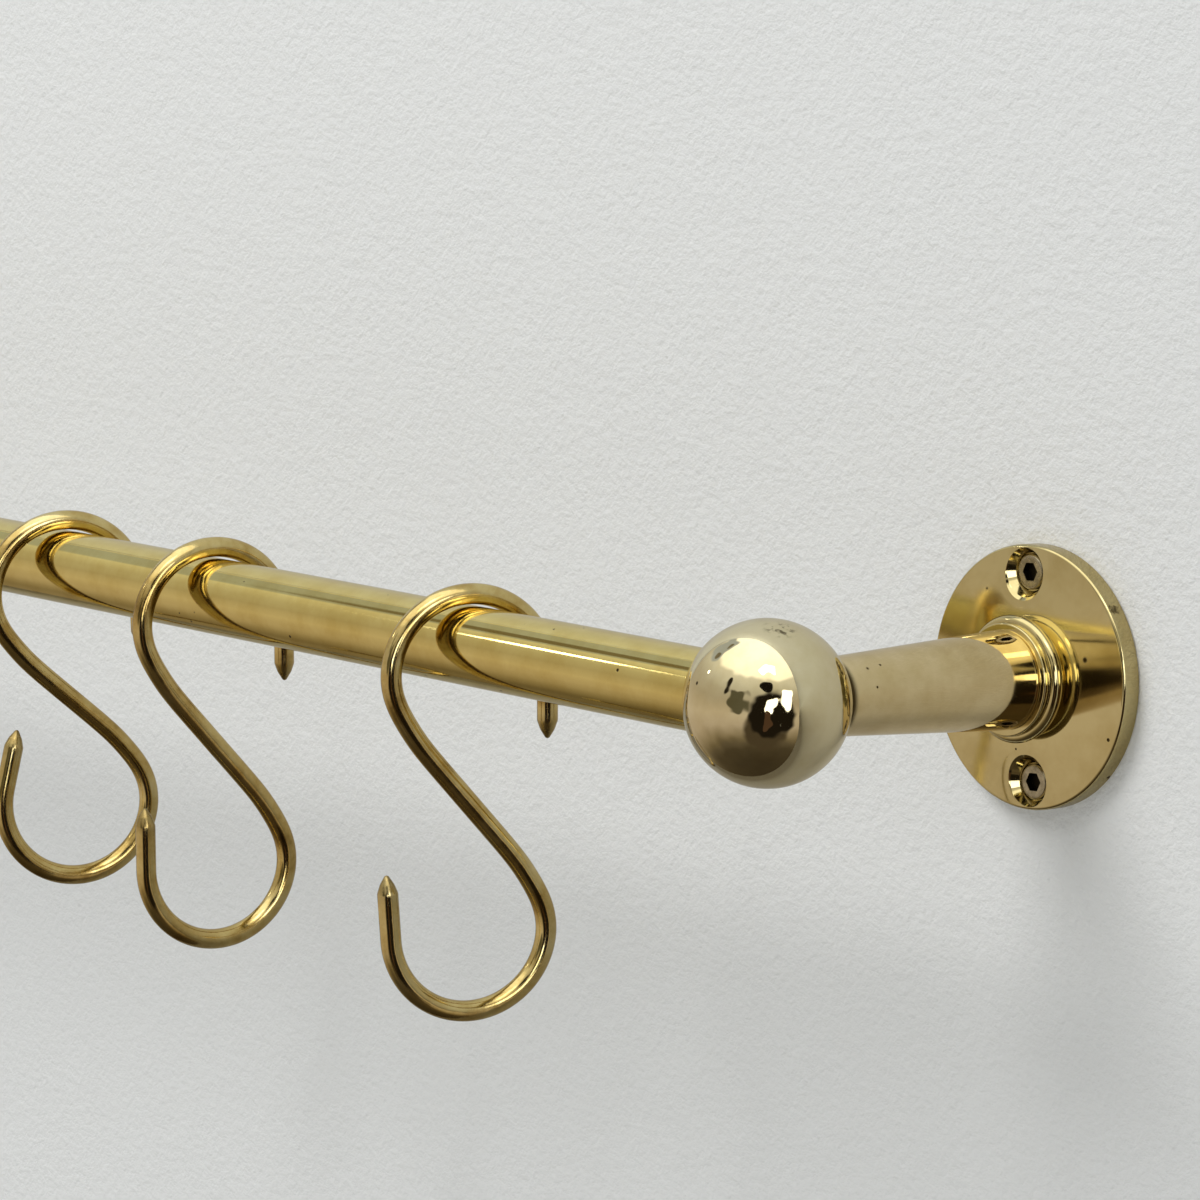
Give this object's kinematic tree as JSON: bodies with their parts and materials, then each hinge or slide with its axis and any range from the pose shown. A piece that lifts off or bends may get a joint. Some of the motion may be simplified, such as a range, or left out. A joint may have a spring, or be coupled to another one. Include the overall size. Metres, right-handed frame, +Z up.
{
  "type": "kitchen utensil rail",
  "caption": "Polished brass rail held off a wall by ball-ended turned brackets with round flanges, with loose wire S-hooks for hanging kitchen utensils.",
  "frame": {"origin": "on the wall plane, midway between the two flanges, at the height of the rail's axis", "axes": "+X along the rail, +Y into the wall, +Z up"},
  "size_m": [0.5614, 0.1479, 0.1209],
  "materials": {
    "polished_brass": "mirror polished, worn",
    "drawn_brass": "drawn wire, tarnished",
    "screw_steel": "dull plated steel"
  },
  "bodies": {
    "rail": {"rail_tube": "polished_brass", "right_ball": "polished_brass", "right_stem": "polished_brass", "right_flange": "polished_brass", "left_ball": "polished_brass", "left_stem": "polished_brass", "left_flange": "polished_brass", "wall_screws": "screw_steel", "ball_studs": "screw_steel", "flange_bolts": "screw_steel", "rail_set_screws": "screw_steel"},
    "right_hook": {"right_hook": "drawn_brass"},
    "middle_hook": {"middle_hook": "drawn_brass"},
    "left_hook": {"left_hook": "drawn_brass"}
  },
  "joints": [
    {"name": "right_hook_swing", "type": "hinge", "parent": "rail", "child": "right_hook", "pos_m": [0.1465, -0.086, -0.0074], "axis": [0.9455, -0.3256, 0], "range_deg": [-60, 60]},
    {"name": "middle_hook_swing", "type": "hinge", "parent": "rail", "child": "middle_hook", "pos_m": [0.0445, -0.086, -0.0074], "axis": [0.9833, -0.1822, 0], "range_deg": [-60, 60]},
    {"name": "left_hook_swing", "type": "hinge", "parent": "rail", "child": "left_hook", "pos_m": [-0.0205, -0.086, -0.0074], "axis": [0.9455, -0.3256, 0], "range_deg": [-60, 60]}
  ]
}
